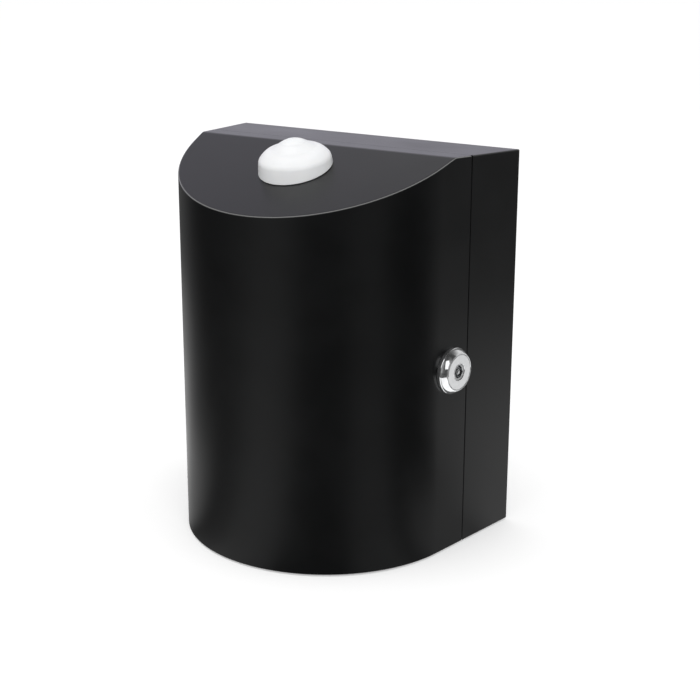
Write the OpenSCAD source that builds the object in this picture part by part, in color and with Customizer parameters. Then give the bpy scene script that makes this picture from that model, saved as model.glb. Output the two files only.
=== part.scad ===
// Countertop wipes dispenser: a fixed rear housing, a hinged front door with a cam lock,
// and a nozzle on the sloped top through which the wipes are pulled.
// Millimetres. The origin is at the middle of the footprint, on the surface that it stands on.
// X is across, the back is at +Y, the round front is at -Y, and +Z is up.
// A depth is measured forwards from the flat back, and a height from the floor of the cabinet.

/* [Cabinet] */
// Width across the back
body_w = 210; // [195:1:230]
// Height of the back edge
back_h = 249.5; // [230:0.5:280]
// Angle at which each side wall closes in towards the front
side_taper = 9.8; // [8:0.1:11]
// Depth of the centre of the round front
front_centre = 60.4; // [56:0.1:66]
// Depth of the ridge between the top strip and the sloped panel
ridge_d = 64.8; // [58:0.1:70]
// Depth of the seam between housing and door
seam_d = 49; // [44:0.5:54]
// Angle at which the top strip rises to the ridge
strip_rise = 2.6; // [0:0.1:4]
// Angle at which the sloped panel falls to the front
lid_slope = 18.4; // [14:0.1:20]
// Thickness of the steel sheet
sheet = 1.2; // [1:0.1:1.6]
// Gap of the seam
seam_gap = 0.9; // [0.6:0.1:1.2]
// Gap of the seam across the top
top_gap = 0.3; // [0.2:0.1:0.8]
// Width of the folded edges along the seam
fold_w = 10; // [8:0.5:11]
// Gap between the rim of the sloped panel and the door skin
lid_fit = 0.1; // [0.05:0.05:0.3]

/* [Base plate] */
// Gap between the base plate and the door skin
base_gap = 3; // [2:0.5:5]
// Height of the turned-up lips of the base plate
lip_h = 8; // [5:0.5:12]
// Width of the front lip
lip_w = 100; // [60:1:110]
// Radius of a foot
foot_r = 7; // [5:0.5:9]
// Height of a foot
foot_h = 1.2; // [0.8:0.1:2]
// Half the distance between the rear feet
rear_foot_x = 80; // [60:1:85]
// Half the distance between the front feet
front_foot_x = 42; // [30:1:48]
// Depth of the rear feet
rear_foot_d = 20; // [14:1:30]
// Depth of the front feet
front_foot_d = 122; // [100:1:126]

/* [Wall holes] */
// Radius of a wall screw hole
wall_hole_r = 3; // [2:0.25:4]
// Distance between the wall screw holes across
wall_hole_w = 140; // [80:1:150]
// Distance between the wall screw holes upwards
wall_hole_h = 150; // [80:1:160]
// Height of the lower wall screw holes
wall_hole_z = 48; // [30:1:60]

/* [Hinge] */
// Radius of a hinge knuckle
knuckle_r = 3; // [2.8:0.1:3.6]
// Radius of the hinge pin
pin_r = 1.25; // [1:0.05:1.5]
// Clearance around the hinge pin
pin_fit = 0.05; // [0.03:0.01:0.09]
// Number of knuckles
knuckle_count = 7; // [3:2:11]
// Gap between knuckles
knuckle_gap = 0.4; // [0.3:0.1:1]
// Clearance around the knuckles in the walls
knuckle_room = 0.5; // [0.4:0.1:1]
// Width of a hinge leaf
leaf_w = 14; // [10:0.5:18]
// Thickness of a hinge leaf
leaf_t = 1.2; // [1:0.1:1.4]
// Distance of the hinge from the floor and from the roof
hinge_end = 14; // [12:0.5:30]

/* [Lock] */
// Height of the lock
lock_h = 120; // [90:1:160]
// Distance of the lock from the seam, along the wall
lock_from_seam = 16; // [15.8:0.1:17]
// Radius of the bezel at the wall
bezel_r = 14.6; // [13:0.1:15]
// Radius of the bezel's flat face
bezel_face_r = 11.8; // [11:0.1:12.6]
// Height of the bezel's upright rim
bezel_rim_h = 1; // [0.6:0.1:1.4]
// Height of the bezel
bezel_h = 6.4; // [6:0.1:8]
// Thickness of the bezel's face
bezel_face_t = 1; // [0.8:0.1:1.5]
// Radius of the barrel
barrel_r = 9.4; // [9:0.1:9.6]
// Length of the barrel behind the wall
barrel_l = 19; // [17:0.5:21]
// Radius of the barrel's neck inside the bezel
neck_r = 8; // [7.5:0.1:8.4]
// Clearance between parts of the lock that turn or thread together
lock_fit = 0.05; // [0.03:0.01:0.09]
// Radius of the plug that the key turns
plug_r = 5.2; // [5:0.1:5.6]
// Depth of the plug's face below the bezel's face
plug_sunk = 0.4; // [0.2:0.1:0.8]
// Radius of the key opening
key_r = 3.7; // [3.3:0.1:3.9]
// Depth of the key opening
key_deep = 7; // [5:0.5:8]
// Radius of the pin in the key opening
key_pin_r = 1.7; // [1.4:0.1:1.9]
// Width of the key notch
key_notch_w = 1.6; // [1:0.1:2]
// Distance across the flats of the nut
nut_flats = 24; // [22:0.5:25]
// Thickness of the nut
nut_t = 4; // [3:0.5:5]
// Radius of the lock washer
washer_r = 11.4; // [10.6:0.1:11.4]
// Thickness of the lock washer
washer_t = 0.8; // [0.5:0.1:1.2]
// Gap between the barrel and the cam
cam_gap = 0.3; // [0.2:0.05:0.6]
// Thickness of the cam
cam_t = 2; // [1.5:0.1:3]
// Length of the cam from the lock's axis
cam_l = 24; // [22:0.5:26]
// Width of the cam
cam_w = 10; // [8:0.5:11]
// Radius of the cam's hub
cam_hub_r = 8; // [7:0.5:9]
// Side of the plug's square tail
tail_w = 7; // [6:0.1:7]
// Radius of the cam screw's shank
cam_screw_r = 2.4; // [2:0.1:2.5]
// Radius of the cam screw's head
cam_head_r = 4.6; // [4:0.1:5]
// Height of the cam screw's head
cam_head_h = 3; // [2.5:0.5:4]
// Thread length of the cam screw
cam_screw_l = 9; // [7:0.5:10]
// Thickness of the cam washer
cam_washer_t = 1; // [0.6:0.1:1.2]

/* [Keeper] */
// Thickness of the keeper
keeper_t = 3; // [2.5:0.1:3.5]
// Gap between the locked cam and the prong
keeper_gap = 0.6; // [0.4:0.1:1]
// Width of the prong
prong_w = 4; // [3:0.5:5]
// Distance of the prong's top below the lock's axis
prong_top = 12; // [11:0.5:14]
// Distance of the keeper's arm below the lock's axis
arm_top = 27; // [26.5:0.5:30]
// Height of the keeper's arm
arm_h = 8; // [6:0.5:12]

/* [Nozzle] */
// Depth of the nozzle's centre
nozzle_d = 95.6; // [92:0.1:100]
// Radius of the nozzle at the panel
cap_r = 23.1; // [21:0.1:24]
// Angle at which the nozzle's dome leans forwards, less than the sloped panel does
nozzle_lean = 10.4; // [8:0.2:14]
// Height of the nozzle's upright wall
cap_wall_h = 6.6; // [6:0.1:8]
// Draft of the upright wall
cap_draft = 0.7; // [0.2:0.1:1.2]
// Radius of the edge above the upright wall
cap_round = 1.5; // [1:0.1:2.5]
// Radius where the dome swells into the crown
swell_r = 14; // [12:0.1:15]
// Height of the dome where it swells into the crown
dome_h = 12.5; // [11.5:0.1:13]
// Radius of the soft middle of the crown
crown_r = 7.4; // [6.5:0.1:8]
// Height of the crown's top
crown_h = 18.5; // [17:0.1:20]
// Wall thickness of the nozzle
cap_t = 2; // [1.6:0.1:2.2]
// Radius of the nozzle's threaded neck
cap_neck_r = 17; // [15:0.1:17.5]
// Length of the neck below the panel
cap_neck_l = 10; // [8:0.5:12]
// Clearance between the neck and the hole, and between the neck and its nut
neck_fit = 0.2; // [0.1:0.05:0.4]
// Radius of the nozzle nut
ring_r = 21.5; // [20.5:0.1:23]
// Thickness of the nozzle nut
ring_t = 5; // [4:0.5:6]
// Number of finger notches in the nozzle nut
ring_notches = 12; // [8:1:16]
// Radius of a finger notch
notch_r = 1.6; // [1:0.1:2]
// Outer radius of the gasket
gasket_r = 20.5; // [19:0.1:20.8]
// Thickness of the gasket
gasket_t = 1.4; // [1:0.1:2]
// Thickness of the soft insert
insert_t = 1.4; // [1:0.1:1.8]
// Radius of the insert's flange
insert_flange_r = 10; // [9.5:0.1:10.5]
// Width of a slit in the insert
slit_w = 0.4; // [0.3:0.1:0.6]
// Radius reached by the slits
slit_r = 5.4; // [4:0.1:6]
// Number of slits that cross
slit_count = 3; // [2:1:4]
// Thickness of the ring that holds the insert
clip_t = 1.5; // [1:0.1:2]

/* [Hidden] */
$fn = 96;

// outline of the cabinet
front_r = cos(side_taper) * body_w / 2 - sin(side_taper) * front_centre;
body_d = front_centre + front_r;
back_y = body_d / 2;
tangent_d = front_centre + front_r * sin(side_taper);
ridge_h = back_h + tan(strip_rise) * ridge_d;
far = 2 * body_w;
bite = 1;

// seam: the housing ends and the door begins
housing_end_d = seam_d - seam_gap / 2;
door_start_d = seam_d + seam_gap / 2;
top_start_d = housing_end_d + top_gap;

// hinge
hinge_z0 = foot_h + hinge_end;
hinge_z1 = foot_h + roof_h(seam_d) - hinge_end;
knuckle_l = (hinge_z1 - hinge_z0) / knuckle_count;

// lock, with heights along its axis measured outwards from the wall
lock_d = seam_d + lock_from_seam * cos(side_taper);
lock_z = foot_h + lock_h;
plug_top = bezel_h - plug_sunk;
nut_top = -sheet - washer_t;
cam_top = -barrel_l - cam_gap;
cam_bottom = cam_top - cam_t;
key_floor = plug_top - key_deep;
pin_seat_deep = 3;

// keeper
keeper_mid = (cam_top + cam_bottom) / 2;
prong_front = -cam_w / 2 - keeper_gap - prong_w;
foot_plate_d = housing_end_d - sheet;
keeper_back = (lock_d - foot_plate_d + keeper_t) / cos(side_taper);

// nozzle
cap_edge_r = cap_r - cap_draft;
neck_bore_r = cap_neck_r - cap_t - 1;
crown_hole_r = crown_r - insert_t;
insert_seat_h = dome_line(insert_flange_r) - cap_t;
cap_skirt = cap_r * tan(lid_slope - nozzle_lean) + bite;
bore_top = 5;

function y_at(d) = back_y - d;
function wall_x(d, inset = 0) = body_w / 2 - tan(side_taper) * d - inset / cos(side_taper);
function roof_h(d) = d < ridge_d ? back_h + tan(strip_rise) * d : ridge_h - tan(lid_slope) * (d - ridge_d);
function ridge_at(inset) =
    ridge_d + inset * (1 / cos(strip_rise) - 1 / cos(lid_slope)) / (tan(strip_rise) + tan(lid_slope));
function arc_points(cx, cy, r, from, to, steps) =
    [for (k = [0 : steps]) let (a = from + (to - from) * k / steps) [cx + r * cos(a), cy + r * sin(a)]];

// height of the nozzle's outside above the panel, along the leaning axis, at a radius inside its wall
function dome_line(r) = r > swell_r
    ? cap_wall_h + (dome_h - cap_wall_h) * (1 - pow((r - swell_r) / (cap_edge_r - swell_r), 2))
    : dome_h + (crown_h - dome_h) * pow(1 - pow(r / swell_r, 2), 1.25);

// upright block with the outline of the cabinet, drawn in by inset on every side
module outline_block(inset, z0, z1) {
    tangent_x = wall_x(tangent_d) - inset * cos(side_taper);
    tangent_y = y_at(tangent_d - inset * sin(side_taper));
    translate([0, 0, z0])
        linear_extrude(height = z1 - z0)
            polygon([[wall_x(inset, inset), y_at(inset)],
                     [-wall_x(inset, inset), y_at(inset)],
                     [-tangent_x, tangent_y],
                     [tangent_x, tangent_y]]);
    // round front
    intersection() {
        translate([0, y_at(front_centre), z0])
            cylinder(r = front_r - inset, h = z1 - z0, $fn = 180);
        slab(front_centre, body_d + bite);
    }
}

// everything under the two planes of the roof, drawn in by inset
module under_roof(inset) {
    rear_z = foot_h + back_h - inset / cos(strip_rise);
    top_z = rear_z + tan(strip_rise) * ridge_at(inset);
    translate([-far, 0, 0])
        rotate([90, 0, 90])
            linear_extrude(height = 2 * far)
                polygon([[y_at(-bite), -far],
                         [y_at(-bite), rear_z - tan(strip_rise) * bite],
                         [y_at(ridge_at(inset)), top_z],
                         [y_at(body_d + bite), top_z - tan(lid_slope) * (body_d + bite - ridge_at(inset))],
                         [y_at(body_d + bite), -far]]);
}

// everything between two depths
module slab(d0, d1) {
    translate([-far, y_at(d1), -far])
        cube([2 * far, d1 - d0, 2 * far]);
}

// everything between two heights above the standing surface
module layer(z0, z1) {
    translate([-far, -far, z0])
        cube([2 * far, 2 * far, z1 - z0]);
}

// solid cabinet without its hollow
module cabinet_block(inset) {
    intersection() {
        outline_block(inset, foot_h, foot_h + ridge_h + bite);
        under_roof(inset);
    }
}

// local axes of the lock: X down, Y to the back along the wall, Z outwards
module at_lock() {
    translate([wall_x(lock_d), y_at(lock_d), lock_z])
        rotate([0, 0, -side_taper])
            rotate([0, 90, 0])
                children();
}

// local axes of the hinge: X inwards, Y to the back along the wall, Z up from the standing surface
module at_hinge() {
    translate([-wall_x(seam_d), y_at(seam_d), 0])
        rotate([0, 0, side_taper])
            children();
}

// local axes of the nozzle: Z square to the sloped panel
module at_nozzle() {
    translate([0, y_at(nozzle_d), foot_h + roof_h(nozzle_d)])
        rotate([lid_slope, 0, 0])
            children();
}

// local axes of the nozzle's dome, which leans less than the panel
module at_dome() {
    translate([0, y_at(nozzle_d), foot_h + roof_h(nozzle_d)])
        rotate([nozzle_lean, 0, 0])
            children();
}

module ring(r_out, r_in, h) {
    difference() {
        cylinder(r = r_out, h = h);
        translate([0, 0, -bite])
            cylinder(r = r_in, h = h + 2 * bite);
    }
}

// room that the hinge knuckles need in the walls
module knuckle_slot() {
    at_hinge()
        translate([0, 0, hinge_z0 - knuckle_gap])
            cylinder(r = knuckle_r + knuckle_room, h = hinge_z1 - hinge_z0 + 2 * knuckle_gap);
}

module wall_holes() {
    for (x = [-1, 1])
        for (z = [0, 1])
            translate([x * wall_hole_w / 2, y_at(-bite), foot_h + wall_hole_z + z * wall_hole_h])
                rotate([90, 0, 0])
                    cylinder(r = wall_hole_r, h = sheet + 2 * bite);
}

// leaf that lies on the inside of the wall, with every second knuckle; side is 1 to the back, -1 to the front
module hinge_leaf(side, first) {
    difference() {
        union() {
            difference() {
                translate([sheet, side > 0 ? 0 : -leaf_w, hinge_z0])
                    cube([leaf_t, leaf_w, hinge_z1 - hinge_z0]);
                for (k = [1 - first : 2 : knuckle_count - 1])
                    translate([0, 0, hinge_z0 + k * knuckle_l - knuckle_gap / 2])
                        cylinder(r = knuckle_r + knuckle_room, h = knuckle_l + knuckle_gap);
            }
            for (k = [first : 2 : knuckle_count - 1])
                translate([0, 0, hinge_z0 + k * knuckle_l + knuckle_gap / 2])
                    cylinder(r = knuckle_r, h = knuckle_l - knuckle_gap);
        }
        translate([0, 0, hinge_z0 - bite])
            cylinder(r = pin_r + pin_fit, h = hinge_z1 - hinge_z0 + 2 * bite);
        for (k = [first : 2 : knuckle_count - 2])
            translate([0, side > 0 ? -leaf_w : 0, hinge_z0 + (k + 1) * knuckle_l - knuckle_gap / 2])
                cube([knuckle_r, leaf_w, knuckle_gap]);
    }
}

module rear_housing() color([0.09, 0.09, 0.1])
    difference() {
        intersection() {
            cabinet_block(0);
            slab(-bite, housing_end_d);
        }
        // hollow between the back and the folded edges
        intersection() {
            outline_block(sheet, 0, far);
            under_roof(sheet);
            slab(0, housing_end_d - sheet);
        }
        // mouth inside the folded edges
        intersection() {
            outline_block(fold_w, 0, far);
            under_roof(fold_w);
        }
        // the hinge side has no folded edge
        intersection() {
            outline_block(sheet, 0, far);
            under_roof(fold_w);
            translate([-far, -far, 0])
                cube([far, 2 * far, far]);
        }
        // the base plate passes below the folded edge
        intersection() {
            outline_block(sheet, 0, far);
            layer(0, foot_h + sheet);
        }
        wall_holes();
        knuckle_slot();
    }

module base_plate() color([0.12, 0.12, 0.13]) {
    disc_r = front_r - sheet - base_gap;
    top_z = foot_h + sheet;
    // between the walls of the housing, with a rear lip
    difference() {
        translate([0, 0, foot_h])
            linear_extrude(height = sheet + lip_h)
                polygon([[wall_x(sheet, sheet), y_at(sheet)],
                         [-wall_x(sheet, sheet), y_at(sheet)],
                         [-wall_x(housing_end_d, sheet), y_at(housing_end_d)],
                         [wall_x(housing_end_d, sheet), y_at(housing_end_d)]]);
        translate([-far, y_at(body_d), top_z])
            cube([2 * far, body_d - 2 * sheet, far]);
    }
    // round part inside the door, with a front lip that is short enough to stay out of the door's way
    difference() {
        translate([0, y_at(front_centre), foot_h])
            cylinder(r = disc_r, h = sheet + lip_h, $fn = 180);
        slab(-far, housing_end_d - bite);
        translate([0, y_at(front_centre), top_z])
            cylinder(r = disc_r - sheet, h = far, $fn = 180);
        for (side = [-1, 1])
            translate([side * (lip_w + far) / 2 - far / 2, y_at(body_d), top_z])
                cube([far, body_d, far]);
    }
}

module rubber_feet() color([0.05, 0.05, 0.05])
    for (side = [-1, 1]) {
        translate([side * rear_foot_x, y_at(rear_foot_d), 0])
            cylinder(r = foot_r, h = foot_h);
        translate([side * front_foot_x, y_at(front_foot_d), 0])
            cylinder(r = foot_r, h = foot_h);
    }

// bracket behind the housing's folded edge, with an arm and an upright prong in front of the locked cam
module lock_keeper() color([0.62, 0.63, 0.65]) {
    inner_z = keeper_mid - keeper_t / 2;
    plate_x = wall_x(foot_plate_d, -inner_z);
    // plate behind the folded edge, low enough for the cam to turn past it
    translate([plate_x, y_at(foot_plate_d), lock_z - arm_top + keeper_t - 2 * arm_h])
        cube([wall_x(foot_plate_d, 2 * sheet) - plate_x, keeper_t, 2 * arm_h]);
    at_lock() {
        translate([arm_top, prong_front, inner_z])
            cube([arm_h, keeper_back - prong_front, keeper_t]);
        translate([prong_top, prong_front, inner_z])
            cube([arm_top + arm_h - prong_top, prong_w, keeper_t]);
    }
}

module housing_hinge_leaf() color([0.3, 0.3, 0.31])
    at_hinge()
        hinge_leaf(1, 0);

module hinge_pin() color([0.75, 0.76, 0.78])
    at_hinge()
        translate([0, 0, hinge_z0])
            cylinder(r = pin_r, h = hinge_z1 - hinge_z0);

// folded edge along the door's free side, above the base plate and below the fold of the top
module door_free_fold() {
    intersection() {
        outline_block(sheet / 2, foot_h + 2 * sheet + base_gap, foot_h + roof_h(seam_d) - fold_w - base_gap);
        slab(door_start_d, door_start_d + sheet);
        translate([wall_x(seam_d) - fold_w, -far, 0])
            cube([fold_w, 2 * far, far]);
    }
}

module door_wrap() color([0.09, 0.09, 0.1])
    difference() {
        intersection() {
            cabinet_block(0);
            slab(door_start_d, body_d + bite);
        }
        difference() {
            outline_block(sheet, -bite, far);
            door_free_fold();
        }
        knuckle_slot();
        at_lock()
            translate([0, 0, -2 * sheet])
                cylinder(r = barrel_r + lock_fit, h = 4 * sheet);
    }

module door_top() color([0.13, 0.13, 0.14])
    difference() {
        intersection() {
            outline_block(sheet + lid_fit, 0, far);
            under_roof(0);
            slab(top_start_d, body_d);
            union() {
                difference() {
                    layer(0, far);
                    under_roof(sheet);
                }
                // fold behind the top strip
                difference() {
                    slab(top_start_d, top_start_d + sheet);
                    under_roof(fold_w);
                }
            }
        }
        at_nozzle()
            translate([0, 0, -5 * sheet])
                cylinder(r = cap_neck_r + neck_fit, h = 10 * sheet);
    }

module door_hinge_leaf() color([0.3, 0.3, 0.31])
    at_hinge()
        hinge_leaf(-1, 1);

module lock_bezel() color([0.85, 0.86, 0.88])
    at_lock()
        rotate_extrude()
            polygon(concat(
                [[neck_r + lock_fit, 0], [bezel_r, 0]],
                [for (a = [0 : 22.5 : 90])
                    [bezel_face_r + (bezel_r - bezel_face_r) * cos(a),
                     bezel_rim_h + (bezel_h - bezel_rim_h) * sin(a)]],
                [[plug_r + 4 * lock_fit, bezel_h],
                 [plug_r + 4 * lock_fit, bezel_h - bezel_face_t],
                 [neck_r + lock_fit, bezel_h - bezel_face_t]]));

module lock_barrel() color([0.72, 0.73, 0.75])
    at_lock()
        rotate_extrude()
            polygon([[plug_r + lock_fit, -barrel_l],
                     [barrel_r, -barrel_l],
                     [barrel_r, 0],
                     [neck_r, 0],
                     [neck_r, bezel_h - bezel_face_t],
                     [plug_r + lock_fit, bezel_h - bezel_face_t]]);

module lock_washer() color([0.78, 0.79, 0.8])
    at_lock()
        translate([0, 0, nut_top])
            ring(washer_r, barrel_r + lock_fit, washer_t);

module lock_nut() color([0.7, 0.71, 0.72])
    at_lock()
        translate([0, 0, nut_top - nut_t])
            difference() {
                cylinder(r = nut_flats / sqrt(3), h = nut_t, $fn = 6);
                translate([0, 0, -bite])
                    cylinder(r = barrel_r + lock_fit, h = nut_t + 2 * bite);
            }

module lock_plug() color([0.8, 0.81, 0.83])
    at_lock()
        difference() {
            union() {
                translate([0, 0, cam_top])
                    cylinder(r = plug_r, h = plug_top - cam_top);
                translate([-tail_w / 2, -tail_w / 2, cam_bottom + lock_fit])
                    cube([tail_w, tail_w, cam_t + bite]);
            }
            translate([0, 0, key_floor])
                cylinder(r = key_r, h = key_deep + bite);
            translate([-key_r - key_notch_w / 2, -key_notch_w / 2, key_floor])
                cube([key_r, key_notch_w, key_deep + bite]);
            translate([0, 0, key_floor - pin_seat_deep])
                cylinder(r = key_pin_r + lock_fit, h = pin_seat_deep + bite);
            translate([0, 0, cam_bottom - bite])
                cylinder(r = cam_screw_r + lock_fit, h = cam_screw_l + bite);
        }

module lock_centre_pin() color([0.85, 0.86, 0.88])
    at_lock()
        translate([0, 0, key_floor - pin_seat_deep])
            cylinder(r = key_pin_r, h = pin_seat_deep + key_deep - plug_sunk);

module lock_cam() color([0.66, 0.67, 0.69])
    at_lock()
        difference() {
            union() {
                translate([0, 0, cam_bottom])
                    cylinder(r = cam_hub_r, h = cam_t);
                translate([-cam_w / 2, 0, cam_bottom])
                    cube([cam_w, cam_l - cam_w / 2, cam_t]);
                translate([0, cam_l - cam_w / 2, cam_bottom])
                    cylinder(r = cam_w / 2, h = cam_t);
            }
            translate([-tail_w / 2 - lock_fit, -tail_w / 2 - lock_fit, cam_bottom - bite])
                cube([tail_w + 2 * lock_fit, tail_w + 2 * lock_fit, cam_t + 2 * bite]);
        }

module cam_washer() color([0.78, 0.79, 0.8])
    at_lock()
        translate([0, 0, cam_bottom - cam_washer_t])
            ring(cam_head_r + bite, cam_screw_r + lock_fit, cam_washer_t);

module cam_screw() color([0.7, 0.71, 0.72]) {
    head_top = cam_bottom - cam_washer_t;
    at_lock()
        difference() {
            union() {
                translate([0, 0, head_top - cam_head_h])
                    cylinder(r = cam_head_r, h = cam_head_h);
                translate([0, 0, head_top - bite / 2])
                    cylinder(r = cam_screw_r, h = cam_washer_t + cam_screw_l);
            }
            translate([0, 0, head_top - cam_head_h - bite])
                cylinder(r = cam_head_r / 2, h = cam_head_h / 2 + bite, $fn = 6);
        }
}

// outside of the nozzle's body from its axis below the panel up to the edge of the crown opening
function cap_outside() = concat(
    [[0, -cap_skirt], [cap_r + cap_draft * cap_skirt / cap_wall_h, -cap_skirt]],
    arc_points(cap_edge_r - cap_round, cap_wall_h - cap_round / 2, cap_round, 0, 45, 3),
    [for (k = [1 : 4]) let (r = cap_edge_r + (swell_r - cap_edge_r) * k / 4) [r, dome_line(r)]],
    [for (k = [1 : 4]) let (r = swell_r + (crown_r - swell_r) * k / 4) [r, dome_line(r)]],
    [[0, dome_line(crown_r)]]);

module nozzle_cap() color([0.93, 0.93, 0.94])
    difference() {
        union() {
            difference() {
                at_dome()
                    rotate_extrude()
                        polygon(cap_outside());
                at_nozzle() {
                    translate([-far / 2, -far / 2, -far])
                        cube([far, far, far]);
                    // recess for the gasket
                    translate([0, 0, -bite])
                        cylinder(r = gasket_r + neck_fit, h = gasket_t + bite);
                }
            }
            at_nozzle()
                translate([0, 0, -cap_neck_l])
                    cylinder(r = cap_neck_r, h = cap_neck_l + gasket_t + bite);
        }
        at_nozzle()
            translate([0, 0, -cap_neck_l - bite])
                cylinder(r = neck_bore_r, h = cap_neck_l + bite + bore_top);
        // room for the insert and its ring
        at_dome()
            rotate_extrude()
                polygon([[0, bite],
                         [neck_bore_r - bite, bite],
                         [neck_bore_r - bite, bore_top],
                         [insert_flange_r + lock_fit, insert_seat_h - insert_t - clip_t],
                         [insert_flange_r + lock_fit, insert_seat_h],
                         [crown_r, insert_seat_h],
                         [crown_r, crown_h + bite],
                         [0, crown_h + bite]]);
    }

module nozzle_gasket() color([0.15, 0.15, 0.16])
    at_nozzle()
        ring(gasket_r, cap_neck_r + neck_fit, gasket_t);

module nozzle_nut() color([0.9, 0.9, 0.91])
    at_nozzle()
        translate([0, 0, -sheet - ring_t])
            difference() {
                cylinder(r = ring_r, h = ring_t);
                translate([0, 0, -bite])
                    cylinder(r = cap_neck_r + lock_fit, h = ring_t + 2 * bite);
                for (k = [0 : ring_notches - 1])
                    rotate([0, 0, 360 * k / ring_notches])
                        translate([ring_r, 0, -bite])
                            cylinder(r = notch_r, h = ring_t + 2 * bite, $fn = 24);
            }

// soft middle of the crown with a flange below the dome and a star of slits
module nozzle_insert() color([0.97, 0.97, 0.97]) {
    steps = 6;
    at_dome()
        difference() {
            rotate_extrude()
                polygon(concat(
                    [[insert_flange_r, insert_seat_h - insert_t],
                     [insert_flange_r, insert_seat_h],
                     [crown_r - lock_fit, insert_seat_h]],
                    [for (k = [steps : -1 : 0]) let (r = (crown_r - lock_fit) * k / steps) [r, dome_line(r)]],
                    [for (k = [0 : steps]) let (r = crown_hole_r * k / steps) [r, dome_line(r) - insert_t]],
                    [[crown_hole_r, insert_seat_h - insert_t]]));
            for (k = [0 : slit_count - 1])
                rotate([0, 0, 180 * k / slit_count])
                    translate([-slit_r, -slit_w / 2, insert_seat_h])
                        cube([2 * slit_r, slit_w, crown_h]);
        }
}

module insert_ring() color([0.88, 0.88, 0.89])
    at_dome()
        translate([0, 0, insert_seat_h - insert_t - clip_t])
            ring(insert_flange_r, crown_hole_r, clip_t);

rear_housing();
base_plate();
rubber_feet();
lock_keeper();
housing_hinge_leaf();
hinge_pin();
door_wrap();
door_top();
door_hinge_leaf();
lock_bezel();
lock_barrel();
lock_washer();
lock_nut();
lock_plug();
lock_centre_pin();
lock_cam();
cam_washer();
cam_screw();
nozzle_cap();
nozzle_gasket();
nozzle_nut();
nozzle_insert();
insert_ring();
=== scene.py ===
"""Countertop wipes dispenser: sheet-steel cabinet with a round hinged front, a cam lock and a white nozzle.

Shapes are worked out in millimetres, under the names that the part's source uses, and put into the meshes in
metres. A depth is measured forwards from the flat back. The seam is drawn narrower than the solids have it,
as thin as it looks on the real cabinet.
"""
import math

import bmesh
import bpy
import numpy as np
from mathutils import Matrix, Vector


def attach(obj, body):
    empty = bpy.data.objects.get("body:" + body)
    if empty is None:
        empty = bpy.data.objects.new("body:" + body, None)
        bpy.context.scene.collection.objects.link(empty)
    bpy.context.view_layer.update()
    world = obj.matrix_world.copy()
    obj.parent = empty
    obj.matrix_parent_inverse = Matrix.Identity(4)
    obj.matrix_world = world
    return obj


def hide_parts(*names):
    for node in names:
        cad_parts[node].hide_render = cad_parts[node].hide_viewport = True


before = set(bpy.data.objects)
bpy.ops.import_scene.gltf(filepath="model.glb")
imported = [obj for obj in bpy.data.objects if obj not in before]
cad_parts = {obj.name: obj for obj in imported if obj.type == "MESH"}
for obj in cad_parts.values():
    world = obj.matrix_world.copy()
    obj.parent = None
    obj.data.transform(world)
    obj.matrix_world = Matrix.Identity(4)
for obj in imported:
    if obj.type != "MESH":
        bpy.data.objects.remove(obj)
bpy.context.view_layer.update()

MM = 0.001

# ---------------------------------------------------------------- sizes, in millimetres and radians
BODY_W, BACK_H = 210.0, 249.5
TAPER = math.radians(9.8)
COS_T, SIN_T = math.cos(TAPER), math.sin(TAPER)
STRIP_RISE, LID_SLOPE = math.radians(2.6), math.radians(18.4)
FRONT_CENTRE, RIDGE_D, SEAM_D = 60.4, 64.8, 49.0
SHEET, SEAM_GAP, TOP_GAP, FOLD_W, FOOT_H = 1.2, 0.6, 0.15, 10.0, 1.2
FRONT_R = COS_T * BODY_W / 2 - SIN_T * FRONT_CENTRE
BODY_D = FRONT_CENTRE + FRONT_R
BACK_Y = BODY_D / 2
RIDGE_H = BACK_H + math.tan(STRIP_RISE) * RIDGE_D
HOUSING_END_D, DOOR_START_D = SEAM_D - SEAM_GAP / 2, SEAM_D + SEAM_GAP / 2
LID_FIT, HOUSING_FOLD_GAP, BASE_GAP = 0.02, 0.1, 3.0
RIM_IN = SHEET + LID_FIT

# rounding of the sheet: rear corners, upper rims, cut edges, bends at the seam, and the ridge's easing
REAR_CORNER_R, RIM_R, CUT_EDGE_R, ROOF_CORNER_R = 0.7, 0.9, 0.25, 0.12
BEND_R, TOP_BEND_R, LEAST_CORNER_R = 0.3, 0.08, 0.15
RIDGE_EASE, RIDGE_REACH, RIM_LINE = 0.55, 1.8, 0.3

# depths of the sheet's stations between the bends, and the stations of a folded edge up to mid-bend
RIDGE_STOPS = RIDGE_D + np.linspace(-RIDGE_REACH, RIDGE_REACH, 9)
STRIP_STOP_D, WALL_STOP_D, FRONT_STOP_D, LID_STOPS = 8, 56.0, 70.0, (52.0, 58.0)
FOLD_LEG, FOLD_STATIONS, BEND_STEPS, CORNER_STEPS = 3, 6, 6, 8

# THROUGH and NECK_REACH are how far the cutters of the holes reach on each side of a sheet
WALL_HOLE_R, WALL_HOLE_W, WALL_HOLE_H, WALL_HOLE_Z, THROUGH = 3.0, 140.0, 150.0, 48.0, 3
KNUCKLE_R, KNUCKLE_ROOM, KNUCKLE_GAP, HINGE_END = 3.0, 0.5, 0.4, 14.0
FOOT_R, FOOT_EDGE_R = 7.0, 0.35
REAR_FOOT_X, REAR_FOOT_D, FRONT_FOOT_X, FRONT_FOOT_D = 80.0, 20.0, 42.0, 122.0

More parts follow.
